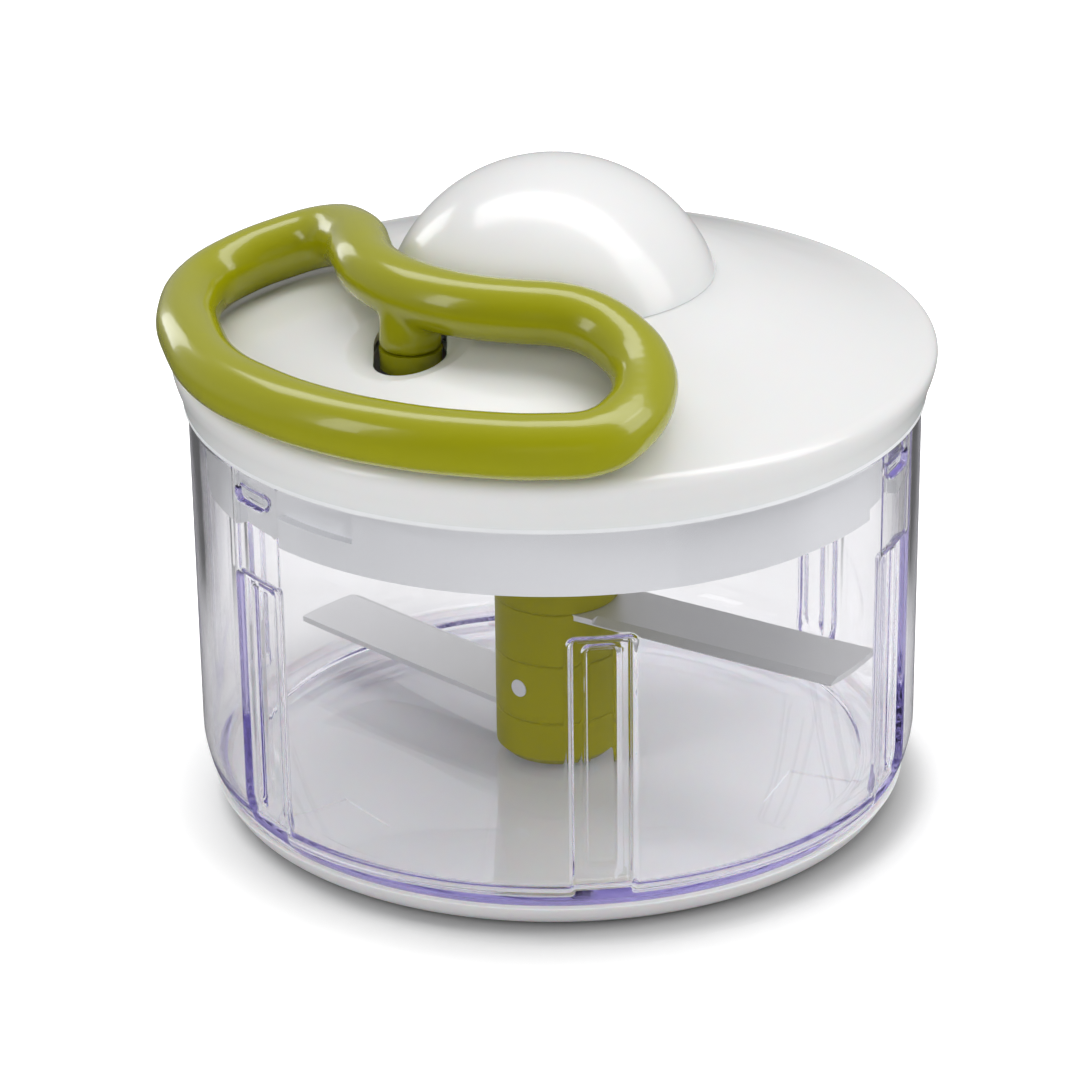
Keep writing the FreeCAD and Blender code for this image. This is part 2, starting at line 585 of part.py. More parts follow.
thick = size("spring_thick")
coil_growth = size("(spring_outer - spring_inner) / (2 * spring_turns)")
inner_side = spiral(size("spring_inner"), coil_growth)
outer_side = spiral(size("spring_inner") + thick, coil_growth)
inner_end = Part.makeLine(inner_side[0].valueAt(inner_side[0].FirstParameter),
                          outer_side[0].valueAt(outer_side[0].FirstParameter))
outer_end = Part.makeLine(inner_side[-1].valueAt(inner_side[-1].LastParameter),
                          outer_side[-1].valueAt(outer_side[-1].LastParameter))
edges = Part.__sortEdges__([inner_end, outer_end] + inner_side + outer_side)
strip = Part.Face(Part.Wire(edges))
spring_low = size("cup_bottom + 3 * part_gap")
spring_high = size("cup_roof_bottom - part_gap")
spring_feature.Shape = strip.extrude(FreeCAD.Vector(0, 0, spring_high - spring_low))
spring_feature.Placement = FreeCAD.Placement(FreeCAD.Vector(0, 0, spring_low), FreeCAD.Rotation())

# ---- drive shaft: turned by the pawls through an inner ratchet, with a two-finned dog at its foot ----
drive_shaft = start_body("drive_shaft")
turn_profile(drive_shaft, [
    ("0", "shaft_bottom"),
    ("shaft_radius", "shaft_bottom"),
    ("shaft_radius", "ratchet_bottom"),
    ("ratchet_radius", "ratchet_bottom"),
    ("ratchet_radius", "ratchet_top"),
    ("ratchet_bore", "ratchet_top"),
    ("ratchet_bore", "ratchet_inside"),
    ("0", "ratchet_inside"),
])
tooth = turn_profile(drive_shaft, [
    ("ratchet_bore - tooth_depth", "ratchet_inside"),
    ("ratchet_bore + tooth_root", "ratchet_inside"),
    ("ratchet_bore + tooth_root", "ratchet_top"),
    ("ratchet_bore - tooth_depth", "ratchet_top"),
], angle="120 / ratchet_teeth", middle="0")
repeat_round(drive_shaft, [tooth], "ratchet_teeth")
fin = turn_profile(drive_shaft, [
    ("shaft_radius - dog_root", "shaft_bottom"),
    ("shaft_radius + dog_reach", "shaft_bottom"),
    ("shaft_radius + dog_reach", "shaft_bottom + dog_height"),
    ("shaft_radius - dog_root", "shaft_bottom + dog_height"),
], angle="dog_angle", middle="0")
repeat_round(drive_shaft, [fin], "dog_count")

drive_bush = start_body("drive_bush")
turn_profile(drive_bush, [
    ("shaft_radius + running_gap", "plate_bottom"),
    ("bush_radius - running_gap", "plate_bottom"),
    ("bush_radius - running_gap", "plate_top"),
    ("bush_radius + bush_wall", "plate_top"),
    ("bush_radius + bush_wall", "plate_top + bush_flange"),
    ("shaft_radius + running_gap", "plate_top + bush_flange"),
])

shaft_clip = start_body("shaft_clip")
turn_profile(shaft_clip, [
    ("shaft_radius + running_gap", "plate_bottom - part_gap - clip_thick"),
    ("shaft_radius + clip_width", "plate_bottom - part_gap - clip_thick"),
    ("shaft_radius + clip_width", "plate_bottom - part_gap"),
    ("shaft_radius + running_gap", "plate_bottom - part_gap"),
])

housing_screws = start_body("housing_screws")
screw_head = circle_feature(housing_screws, "0", "-screw_circle", "screw_head_radius",
                            "plate_bottom - screw_head_high", "screw_head_high", "Pad")
screw_shank = circle_feature(housing_screws, "0", "-screw_circle", "screw_radius - running_gap",
                             "plate_bottom - part_gap", "screw_top - plate_bottom + part_gap", "Pad")
repeat_round(housing_screws, [screw_head, screw_shank], "screw_count")

# ---- hub: four stacked lime mouldings that clamp the two blades, free to turn on the floor's post ----


def hub_ring(label, low, high, round_low=False):
    """One moulding of the hub, bored for the pivot post."""
    body = start_body(label)
    corner = "hub_round" if round_low else "hub_edge"
    turn_profile(body, [
        ("post_bore", low),
        (f"hub_radius - {corner}", low),
        ("hub_radius", f"{low} + {corner}"),
        ("hub_radius", f"{high} - hub_edge"),
        ("hub_radius - hub_edge", high),
        ("post_bore", high),
    ])
    return body


BLADE_SLOT = [
    ("-blade_half", "0"),
    ("-blade_half", "-hub_radius - over_cut"),
    ("blade_half", "-hub_radius - over_cut"),
    ("blade_half", "0", "blade_half", 1),
    ("0", "blade_half", "blade_half", 1),
]

hub_bottom = hub_ring("hub_bottom", "hub_bottom_height", "seam_low", round_low=True)
pocket(hub_bottom, BLADE_SLOT, "seam_low - blade_thick", "2 * blade_thick")
place(hub_bottom, angle="lower_blade_angle")

hub_spacer_lower = hub_ring("hub_spacer_lower", "seam_low", "seam_middle")

hub_spacer_upper = hub_ring("hub_spacer_upper", "seam_middle", "seam_high")
pocket(hub_spacer_upper, BLADE_SLOT, "seam_high - blade_thick", "2 * blade_thick")
place(hub_spacer_upper, angle="upper_blade_angle")

hub_top_cap = start_body("hub_top_cap")
turn_profile(hub_top_cap, [
    ("0", "seam_high"),
    ("hub_radius - hub_edge", "seam_high"),
    ("hub_radius", "seam_high + hub_edge"),
    ("hub_radius", "hub_shoulder"),
    ("hub_neck_radius", "hub_shoulder + hub_neck_taper"),
    ("hub_neck_radius", "hub_top"),
    ("shaft_radius + part_gap", "hub_top"),
    ("shaft_radius + part_gap", "socket_bottom"),
    ("0", "socket_bottom"),
])
socket_sector = turn_profile(hub_top_cap, [
    ("shaft_radius - dog_root", "socket_bottom"),
    ("shaft_radius + dog_reach + part_gap", "socket_bottom"),
    ("shaft_radius + dog_reach + part_gap", "hub_top + over_cut"),
    ("shaft_radius - dog_root", "hub_top + over_cut"),
], kind="Groove", angle="socket_angle", middle="0")
repeat_round(hub_top_cap, [socket_sector], "dog_count")
place(hub_top_cap, angle="-lock_turn / 2")


def blade(label, low, angle):
    """A flat blade: a round eye on the post, a bevelled cutting edge and an end on the sweep circle."""
    body = start_body(label)
    pocket(body, [
        ("-blade_half", "0"),
        ("-blade_half", "-blade_corner", "blade_reach", 1),
        ("blade_half", "-blade_corner"),
        ("blade_half", "0", "blade_half", 1),
        ("0", "blade_half", "blade_half", 1),
    ], low, "blade_thick", kind="Pad")
    circle_feature(body, "0", "0", "post_bore", low + " - over_cut", "blade_thick + 2 * over_cut", "Pocket")
    sketch = start_sketch(body, "XZ_Plane", "hub_radius + over_cut")
    draw_outline(sketch, [
        ("-blade_half - over_cut", low + " + blade_thick + bevel_edge"),
        ("-blade_half - over_cut", low + " + bevel_edge - blade_thick / blade_bevel"),
        ("blade_bevel - blade_half", low + " + blade_thick + bevel_edge"),
    ])
    bevel = body.newObject("PartDesign::Pocket", "bevel")
    bevel.Profile = sketch
    bevel.Type = "ThroughAll"
    bevel.Reversed = True
    place(body, angle=angle)
    return body


blade_upper = blade("blade_upper", "seam_high - blade_thick", "upper_blade_angle")
blade_lower = blade("blade_lower", "seam_low - blade_thick", "lower_blade_angle")

# A short steel pin locks the lower spacer to the sleeve behind it.
pin_hole = hub_spacer_lower.newObject("PartDesign::SubtractiveCylinder", "pin_hole")
plane = next(item for item in hub_spacer_lower.Origin.OriginFeatures if item.Role == "XY_Plane")
pin_hole.AttachmentSupport = [(plane, "")]
pin_hole.MapMode = "FlatFace"
pin_hole.setExpression("Radius", bound("pin_radius + running_gap"))
pin_hole.setExpression("Height", bound("2 * pin_length"))
pin_start = size("hub_radius - pin_length")


def along(angle, radius, height):
    """A placement whose Z axis points outwards at an angle from -Y."""
    return FreeCAD.Placement(
        FreeCAD.Vector(*polar(radius, angle), height), FreeCAD.Rotation(angle - 90, 90, 0))


pin_hole.AttachmentOffset = along(size("pin_angle"), pin_start - size("running_gap"), size("pin_height"))
hub_spacer_lower.Tip = pin_hole

hub_pin = doc.addObject("Part::Cylinder", "hub_pin")
hub_pin.setExpression("Radius", bound("pin_radius"))
hub_pin.setExpression("Height", bound("pin_length"))
hub_pin.Placement = along(size("pin_angle"), pin_start, size("pin_height"))

# ---- cord outlet: an eyelet under the cover's hole, the lead from the winding, the knot in the plug ----
lead_turn = math.degrees(math.atan2(-size("stem_y"), -size("stem_x")))
lead_turn -= math.degrees(math.asin(size("leaving_radius") / size("loop_inner")))
lead_whole = math.sqrt(size("loop_inner") ** 2 - size("leaving_radius") ** 2)
lead_hidden = math.sqrt(size("winding_radius + part_gap") ** 2 - size("leaving_radius - cord_radius") ** 2)

cord_guide = start_body("cord_guide")
turn_profile(cord_guide, [
    ("guide_throat", "outlet_boss_bottom - guide_drop"),
    ("guide_radius", "outlet_boss_bottom - guide_drop"),
    ("guide_radius", "outlet_boss_bottom"),
    ("guide_radius - guide_lip", "outlet_boss_bottom"),
    ("guide_throat", "outlet_boss_bottom - guide_thick"),
])
pocket(cord_guide, [
    ("0", "-cord_radius - part_gap"),
    ("guide_radius + over_cut", "-cord_radius - part_gap"),
    ("guide_radius + over_cut", "cord_radius + part_gap"),
    ("0", "cord_radius + part_gap"),
], "cord_level - cord_radius - part_gap", "2 * cord_radius + 2 * part_gap")
place(cord_guide, x="stem_x", y="stem_y", angle=f"{lead_turn:.6f}")

cord_lead = doc.addObject("Part::Cylinder", "cord_lead")
cord_lead.setExpression("Radius", bound("cord_radius"))
cord_lead.Height = lead_whole - lead_hidden - size("cord_radius + part_gap")
lead_end = FreeCAD.Vector(size("stem_x"), size("stem_y"), size("cord_level"))
lead_way = FreeCAD.Rotation(lead_turn, 90, 0)
lead_gap = FreeCAD.Vector(0, 0, size("cord_radius + part_gap"))
cord_lead.Placement = FreeCAD.Placement(lead_end + lead_way.multVec(lead_gap), lead_way)

cord_tail = doc.addObject("Part::Cylinder", "cord_tail")
cord_tail.setExpression("Radius", bound("cord_radius"))
cord_tail.setExpression("Height", bound("plug_bottom - cord_level - cord_radius"))
place(cord_tail, x="stem_x", y="stem_y", z="cord_level + cord_radius")

stem_plug = start_body("stem_plug")
turn_profile(stem_plug, [
    ("plug_bore", "plug_bottom"),
    ("stem_radius - plug_round", "plug_bottom"),
    ("stem_radius", "plug_bottom + plug_round"),
    ("stem_radius", "stem_bottom"),
    ("knot_room", "stem_bottom"),
    ("knot_room", "plug_bottom + plug_floor"),
    ("plug_bore", "plug_bottom + plug_floor"),
])
place(stem_plug, x="stem_x", y="stem_y")

cord_knot = start_body("cord_knot")
turn_profile(cord_knot, [
    ("0", "plug_bottom"),
    ("cord_radius", "plug_bottom"),
    ("cord_radius", "plug_bottom + plug_floor"),
    ("knot_room - part_gap", "plug_bottom + plug_floor + knot_taper"),
    ("knot_room - part_gap", "stem_bottom - knot_taper"),
    ("0", "stem_bottom - part_gap"),
])
place(cord_knot, x="stem_x", y="stem_y")


# ---- handle: a round loop draped over the lid, with a stem down to the plug ----
def drape(radius):
    """The loop's middle height above the lid's cone at a distance from the axis."""
    slope = size("(dome_base_height - cone_low_height) / (cone_low_radius - dome_radius)")
    return size("cone_low_height + grip_lift") + (size("cone_low_radius") - radius) * slope


def loop_point(share, angle):
    """A point of the loop's middle line, a share of the way from its inner to its outer arc."""
    radius = size("loop_inner") + share * size("loop_outer - loop_inner")
    return FreeCAD.Vector(*polar(radius, angle), drape(radius))


# Corners of the loop, as shares and angles: the outer arc, the round right end, the inner arc that hugs
# the dome, and the blunter left end. A bend fills nearly half of each run beside its corner.
OUTER_ARC = [(0.99, -63), (1.02, -44), (1.02, -25), (1.02, -7)]
RIGHT_END = [(1.03, 6.5), (0.83, 15.5), (0.45, 19.5), (0.12, 14.5)]
INNER_ARC = [(0, 0), (0.01, -16), (0.01, -33), (0.01, -50), (0.01, -67), (0, -84)]
LEFT_END = [(-0.02, -96), (0.2, -108), (0.55, -105.5), (0.86, -99), (0.97, -82)]
BEND_SHARE = 0.48


def round_tube(corners, radius):
    """A closed round tube: each bend is a ring segment and each run between two bends a cylinder."""
    bends = []
    for number, corner in enumerate(corners):
        back = corners[number - 1] - corner
        ahead = corners[(number + 1) % len(corners)] - corner
        reach = min(back.Length, ahead.Length) * BEND_SHARE
        back.normalize()
        ahead.normalize()
        half_turn = back.getAngle(ahead) / 2
        inwards = (back + ahead).normalize()
        middle = corner + inwards * (reach / math.cos(half_turn) - reach * math.tan(half_turn))
        bends.append(Part.Arc(corner + back * reach, middle, corner + ahead * reach).toShape())
    pieces = []
    for number, bend in enumerate(bends):
        leaving = bend.tangentAt(bend.LastParameter)
        section = Part.Circle(bend.valueAt(bend.LastParameter), leaving, radius)
        disc = Part.Face(Part.Wire(section.toShape()))
        ring = bend.Curve
        pieces.append(disc.revolve(ring.Center, ring.Axis, -math.degrees(bend.Length / ring.Radius)))
        following = bends[(number + 1) % len(bends)]
        pieces.append(disc.extrude(following.valueAt(following.FirstParameter) - section.Center))
    return pieces[0].multiFuse(pieces[1:]).removeSplitter()


loop_tube = doc.addObject("Part::Feature", "loop_tube")
loop_tube.Shape = round_tube(
    [loop_point(*spot) for spot in OUTER_ARC + RIGHT_END + INNER_ARC + LEFT_END], size("grip_radius"))

stem = doc.addObject("Part::Cone", "stem")
stem.setExpression("Radius1", bound("stem_radius"))
stem.setExpression("Radius2", bound("stem_neck_radius"))
stem.Height = drape(size("loop_inner")) - size("stem_bottom")
place(stem, x="stem_x", y="stem_y", z="stem_bottom")
handle_grip = doc.addObject("Part::Fuse", "handle_grip")
handle_grip.Base = loop_tube
handle_grip.Tool = stem

NODES = [
    bowl, foot, lid_seal, lid_cover, dome_cap, lid_base, cord_guide, spring_cup, spring_feature,
    reel_axle, drive_bush, housing_screws, shaft_clip, reel_drum, cord_winding, cord_lead, drive_shaft,
    clutch_pawls, hub_top_cap, hub_spacer_upper, hub_spacer_lower, hub_bottom, blade_upper,
    blade_lower, hub_pin, handle_grip, stem_plug, cord_knot, cord_tail,
]

# ---- check every object, then write one file for each sub-part ----
doc.recompute()
for item in doc.Objects:
    if "Invalid" in item.State or "Error" in item.State:
        raise ValueError(f"{item.Label} did not build: {item.State}")
for piece in NODES:
    if piece.Shape.isNull() or not piece.Shape.isValid():
        raise ValueError(piece.Label + " has no valid shape")
    piece.Shape.exportStep(f"parts/{piece.Label}.step")
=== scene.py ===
import math

import bmesh
import bpy
from mathutils import Matrix, Vector


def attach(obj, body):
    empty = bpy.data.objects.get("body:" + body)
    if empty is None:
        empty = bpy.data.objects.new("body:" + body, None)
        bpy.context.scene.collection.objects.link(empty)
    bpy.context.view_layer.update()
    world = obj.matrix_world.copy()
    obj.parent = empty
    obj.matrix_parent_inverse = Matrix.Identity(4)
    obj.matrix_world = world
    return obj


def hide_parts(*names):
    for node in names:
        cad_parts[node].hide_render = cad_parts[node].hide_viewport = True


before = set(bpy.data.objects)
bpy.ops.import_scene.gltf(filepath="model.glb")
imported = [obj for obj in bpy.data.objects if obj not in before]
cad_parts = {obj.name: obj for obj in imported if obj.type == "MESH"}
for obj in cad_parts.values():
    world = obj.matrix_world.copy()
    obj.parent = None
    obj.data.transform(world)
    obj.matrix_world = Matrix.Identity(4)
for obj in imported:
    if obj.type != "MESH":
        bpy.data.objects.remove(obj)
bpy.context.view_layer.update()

# ---- Camera: a long lens in front of the chopper, looking down at it, with a slight roll ----
MM = 0.001
EYE = Vector((-3.262, -913.5, 457.7)) * MM
LOOK_DOWN = math.radians(24.0)
CAMERA_ROLL = math.radians(-0.726)
camera_data = bpy.data.cameras.new("camera")
camera_data.lens = 167.61
camera_data.sensor_width = 36.0
camera_data.clip_end = 50.0
camera = bpy.data.objects.new("camera", camera_data)
camera.matrix_world = (
    Matrix.Translation(EYE)
    @ Matrix.Rotation(math.pi / 2 - LOOK_DOWN, 4, "X")
    @ Matrix.Rotation(CAMERA_ROLL, 4, "Z")
)
bpy.context.scene.collection.objects.link(camera)
bpy.context.scene.camera = camera
bpy.context.scene.view_settings.view_transform = "Standard"
bpy.context.scene.cycles.max_bounces = 96
bpy.context.scene.cycles.transmission_bounces = 96
bpy.context.scene.cycles.glossy_bounces = 64


# ---- Bowl: one clear injection moulding with six channel ribs, a pivot post and three hollow lugs. ----
# The wall has the same thickness all over, so each rib stands inwards as a channel seen from outside.
# The plastic is faintly violet, which shows only where the light runs along a wall.
BOWL_RIM_RADIUS = 71.9
BOWL_RIM_TOP = 84.2
BOWL_LOW_RADIUS = 71.44
CORNER_TOP = 15
BOWL_WALL = 1.8
WALL_SLOPE = (BOWL_RIM_RADIUS - BOWL_LOW_RADIUS) / (BOWL_RIM_TOP - CORNER_TOP)
FLOOR_BOTTOM = 4.4
FLOOR_TOP = 6.3
FLOOR_EDGE = 64
POST_RADIUS = 4.0
RIB_COUNT = 6
RIB_PITCH = 360 / RIB_COUNT
RIB_FIRST = 6.5
RIB_DEPTH = 1.7
CHANNEL_DEPTH = 0.9
LUG_COUNT = 3
LUG_PITCH = 360 / LUG_COUNT
LUG_FIRST = 66.0
LUG_HEIGHT = 79.1
LUG_DEPTH = 1.1
PANEL_DEPTH = 0.04


def rounded(points, steps=6):
    """The outline with each corner that has a third number rounded by that much, in millimetres."""
    outline = []
    for number, point in enumerate(points):
        corner = Vector((point[0], point[1]))
        if len(point) == 2:
            outline.append(corner)
            continue
        back = Vector(points[number - 1][:2]) - corner
        ahead = Vector(points[(number + 1) % len(points)][:2]) - corner
        start = corner + back.normalized() * min(point[2], back.length * 0.5)
        stop = corner + ahead.normalized() * min(point[2], ahead.length * 0.5)
        for step in range(steps + 1):
            share = step / steps
            outline.append(
                start * (1 - share) ** 2 + corner * 2 * share * (1 - share) + stop * share ** 2)
    return outline


def turned(points, segments=192, closed=True):
    """A bmesh turned about the Z axis from an outline of radius and height, in millimetres."""
    mesh = bmesh.new()
    dots = [mesh.verts.new((point[0] * MM, 0, point[1] * MM)) for point in points]
    links = [mesh.edges.new((dots[k], dots[k + 1])) for k in range(len(dots) - 1)]
    if closed:
        links.append(mesh.edges.new((dots[-1], dots[0])))
    bmesh.ops.spin(mesh, geom=dots + links, axis=(0, 0, 1), cent=(0, 0, 0),
                   angle=2 * math.pi, steps=segments, use_merge=True)
    bmesh.ops.remove_doubles(mesh, verts=mesh.verts, dist=1e-6)
    bmesh.ops.recalc_face_normals(mesh, faces=mesh.faces)
    return mesh


def finished(name, mesh, material, body, slot, *nodes, sharp=40):
    """Make a piece of a bmesh, give it its finish, and let it stand for CAD nodes of its body."""
    data = bpy.data.meshes.new(name)
    mesh.to_mesh(data)
    mesh.free()
    data.shade_smooth()
    data.set_sharp_from_angle(angle=math.radians(sharp))
    piece = bpy.data.objects.new(name, data)
    bpy.context.scene.collection.objects.link(piece)
    data.materials.append(material)
    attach(piece, body)
    if nodes:
        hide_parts(*nodes)
    return piece


def new_material(name):
    """A node material: its nodes, its links and its main shader."""
    material = bpy.data.materials.new(name)
    material.use_nodes = True
    tree = material.node_tree
    return material, tree.nodes, tree.links, tree.nodes["Principled BSDF"]


def add_texture(nodes, links, kind, **inputs):
    """A texture node that reads Object coordinates."""
    spot = nodes.new("ShaderNodeTexCoord")
    texture = nodes.new(kind)
    links.new(spot.outputs["Object"], texture.inputs["Vector"])
    for socket, value in inputs.items():
        texture.inputs[socket].default_value = value
    return texture


def add_roughness(nodes, links, shader, texture, low, high):
    """Let a texture move the roughness between two values."""
    spread = nodes.new("ShaderNodeMapRange")
    spread.inputs["To Min"].default_value = low
    spread.inputs["To Max"].default_value = high
    output = "Factor" if "Factor" in texture.outputs else "Fac"
    links.new(texture.outputs[output], spread.inputs["Value"])
    links.new(spread.outputs["Result"], shader.inputs["Roughness"])


def add_bump(nodes, links, shader, texture, strength, distance):
    """Let a texture raise the surface a little."""
    bump = nodes.new("ShaderNodeBump")
    bump.inputs["Strength"].default_value = strength
    bump.inputs["Distance"].default_value = distance
    output = "Factor" if "Factor" in texture.outputs else "Fac"
    links.new(texture.outputs[output], bump.inputs["Height"])
    links.new(bump.outputs["Normal"], shader.inputs["Normal"])
    return bump


clear_plastic, nodes, links, shader = new_material("clear_plastic")
shader.inputs["Base Color"].default_value = (1, 1, 1, 1)
shader.inputs["Transmission Weight"].default_value = 1
shader.inputs["IOR"].default_value = 1.46
flow = add_texture(nodes, links, "ShaderNodeTexNoise", Scale=45.0, Detail=2.0)
add_roughness(nodes, links, shader, flow, 0.0, 0.03)
add_bump(nodes, links, shader, flow, 0.05, 0.0004)
tint = nodes.new("ShaderNodeVolumeAbsorption")
tint.inputs["Color"].default_value = (0.76, 0.73, 0.89, 1)
tint.inputs["Density"].default_value = 36
links.new(tint.outputs["Volume"], nodes["Material Output"].inputs["Volume"])


def smooth_between(low, high, value):
    """0 at low, 1 at high and a smooth slide between them."""
    share = min(max((value - low) / (high - low), 0.0), 1.0)
    return share * share * (3 - 2 * share)


def box_share(across, along, half_across, half_along, corner, slope):
    """1 inside a box with round corners, 0 outside, and a slope of the given width at its edge."""
    out_across = max(abs(across) - half_across + corner, 0.0)
    out_along = max(abs(along) - half_along + corner, 0.0)
    outside = math.hypot(out_across, out_along) - corner
    if out_across == 0 and out_along == 0:
        outside = max(abs(across) - half_across, abs(along) - half_along)
    return smooth_between(slope / 2, -slope / 2, outside)


def off_middle(degrees, first, pitch):
    """How many degrees a spot lies from the nearest of the middles that repeat round the bowl."""
    return (degrees - first + pitch / 2) % pitch - pitch / 2


def dent(degrees, radius, height):
    """How far the bowl's wall stands inwards at a spot, in millimetres: the ribs and the lugs."""
    arc = math.radians(1) * radius
    off = off_middle(degrees, RIB_FIRST, RIB_PITCH) * arc
    pocket = box_share(off, height - 36.0, half_across=6.1, half_along=26.0, corner=1.2, slope=1.3)
    channel = box_share(off, height - 36.5, half_across=3.2, half_along=23.4, corner=1.4, slope=1.3)
    off = off_middle(degrees, RIB_FIRST + RIB_PITCH, LUG_PITCH) * arc
    panel = box_share(off, height - 75.0, half_across=6.8, half_along=13.0, corner=0.1, slope=0.2)
    off = off_middle(degrees, LUG_FIRST, LUG_PITCH) * arc
    lug = box_share(off, height - LUG_HEIGHT, half_across=4.8, half_along=1.3, corner=1.25, slope=0.9)
    return max(RIB_DEPTH * pocket + CHANNEL_DEPTH * channel, PANEL_DEPTH * panel + LUG_DEPTH * lug)


def lathed(points, angles):
    """A bmesh with the outline of radius and height set at each angle from -Y, all round."""
    mesh = bmesh.new()
    rings = []
    for angle in angles:
        turn = math.radians(angle)
        rings.append([
            mesh.verts.new(Vector((r * math.sin(turn), -r * math.cos(turn), z)) * MM) for r, z in points])
    for number, ring in enumerate(rings):
        after = rings[(number + 1) % len(rings)]
        for k in range(len(points) - 1):
            mesh.faces.new((ring[k], after[k], after[k + 1], ring[k + 1]))
    bmesh.ops.remove_doubles(mesh, verts=mesh.verts, dist=1e-6)
    bmesh.ops.dissolve_degenerate(mesh, edges=mesh.edges, dist=1e-7)
    bmesh.ops.recalc_face_normals(mesh, faces=mesh.faces)
    return mesh


# The rows of the wall and the angles round it stand close together where a rib or a lug begins and ends.
rows = [16, 17, 22, 30, 38, 46, 53, 57.5, 58.6, 59.0, 59.3, 59.6, 59.9, 60.2, 60.5, 61.0, 61.5, 61.9, 62.2]
rows += [62.5, 62.8, 63.1, 63.6, 65, 70, 75, 76.9, 77.3, 77.6, 77.85, 78.1, 78.4, 78.8, 79.2, 79.6, 79.9]
rows += [80.15, 80.4, 80.7, 81.1, 82.5]
outside = [(BOWL_LOW_RADIUS + (row - CORNER_TOP) * WALL_SLOPE, row) for row in rows]
inside = [(radius - BOWL_WALL, row) for radius, row in reversed(outside)]
corner_outside = [
    (66.0, FLOOR_BOTTOM), (67.4, 4.6), (68.4, 5.3), (69.3, 7.0), (70.0, 8.6), (70.5, 10.0), (70.9, 11.6),
    (71.2, 13.0), (71.38, 14.3),
]
corner_inside = [
    (69.6, 14.6), (69.5, 13.4), (69.3, 12.2), (69.0, 11.0), (68.4, 9.8), (67.5, 8.8), (66.3, 8.0),
    (64.6, 7.4), (62.6, 6.95), (61.2, 6.85), (61.0, 6.75), (60.6, 6.35),
]
rim = [
    (BOWL_RIM_RADIUS, 83.8), (71.8, 84.05), (71.5, BOWL_RIM_TOP), (70.5, BOWL_RIM_TOP), (70.2, 84.05),
    (BOWL_RIM_RADIUS - BOWL_WALL, 83.8),
]
floor_inside = [(60.4, FLOOR_TOP), (30, FLOOR_TOP), (7.0, FLOOR_TOP)]
post = [
    (5.2, 6.5), (4.4, 7.1), (POST_RADIUS, 8), (POST_RADIUS, 20), (POST_RADIUS, 33),
    (POST_RADIUS - 1, 34), (0, 34),
]
bowl_outline = [(0, FLOOR_BOTTOM), (60, FLOOR_BOTTOM), *corner_outside, *outside, *rim]
bowl_outline += [*inside, *corner_inside, *floor_inside, *post]
near_rib = [0, 0.9, 1.7, 1.95, 2.2, 2.45, 2.7, 2.95, 3.2, 3.7, 4.2, 4.35, 4.6, 4.85, 5.1, 5.35, 5.6, 6.1]
near_lug = [0, 1.5, 2.8, 3.2, 3.5, 3.75, 4.0, 4.25, 4.5, 5.0]
bowl_angles = set()
for rib in range(RIB_COUNT):
    middle = RIB_FIRST + RIB_PITCH * rib
    bowl_angles.update(round(middle + side * off, 3) % 360 for off in near_rib for side in (-1, 1))
    bowl_angles.update(round(middle + step, 3) % 360 for step in range(8, 54, 2))
for lug in range(LUG_COUNT):
    middle = LUG_FIRST + LUG_PITCH * lug
    bowl_angles.update(round(middle + side * off, 3) % 360 for off in near_lug for side in (-1, 1))
bowl_mesh = lathed(bowl_outline, sorted(bowl_angles))
for vertex in bowl_mesh.verts:
    x, y, z = vertex.co / MM
    radius = math.hypot(x, y)
    if radius < FLOOR_EDGE:
        continue
    fade = smooth_between(6.5, 12.0, z)
    shrink = 1 - fade * dent(math.degrees(math.atan2(x, -y)), radius, z) / radius
    vertex.co.x *= shrink
    vertex.co.y *= shrink
bowl_piece = finished("clear_bowl", bowl_mesh, clear_plastic, "bowl", "clear_plastic", "bowl", sharp=55)
bowl_piece.visible_shadow = False


# ---- Foot: one moulded pad of milky rubber, pressed on under the floor and lapped up the lower edge. ----
# It shows through the clear floor as a pale grey disc. Three shallow square recesses lie under the lugs.
FOOT_RADIUS = 66.4
FOOT_TOP = 4.2
FOOT_LAP = (69.5, 5.0)
RECESS_SIDE = 0.0155
RECESS_DEEP = 0.0005
RECESS_PLACE = -0.0548
RECESS_FIRST = 66.5


def combined(piece, other_mesh, operation, sharp=35):
    """Join a bmesh to a piece or cut it out of it."""
    data = bpy.data.meshes.new("other")
    other_mesh.to_mesh(data)
    other_mesh.free()
    other = bpy.data.objects.new("other", data)
    bpy.context.scene.collection.objects.link(other)
    step = piece.modifiers.new("step", "BOOLEAN")
    step.operation = operation
    step.solver = "EXACT"
    step.object = other
    bpy.context.view_layer.update()
    ready = piece.evaluated_get(bpy.context.evaluated_depsgraph_get())
    result = bpy.data.meshes.new_from_object(ready)
    piece.modifiers.clear()
    piece.data = result
    result.set_sharp_from_angle(angle=math.radians(sharp))
    bpy.data.objects.remove(other)


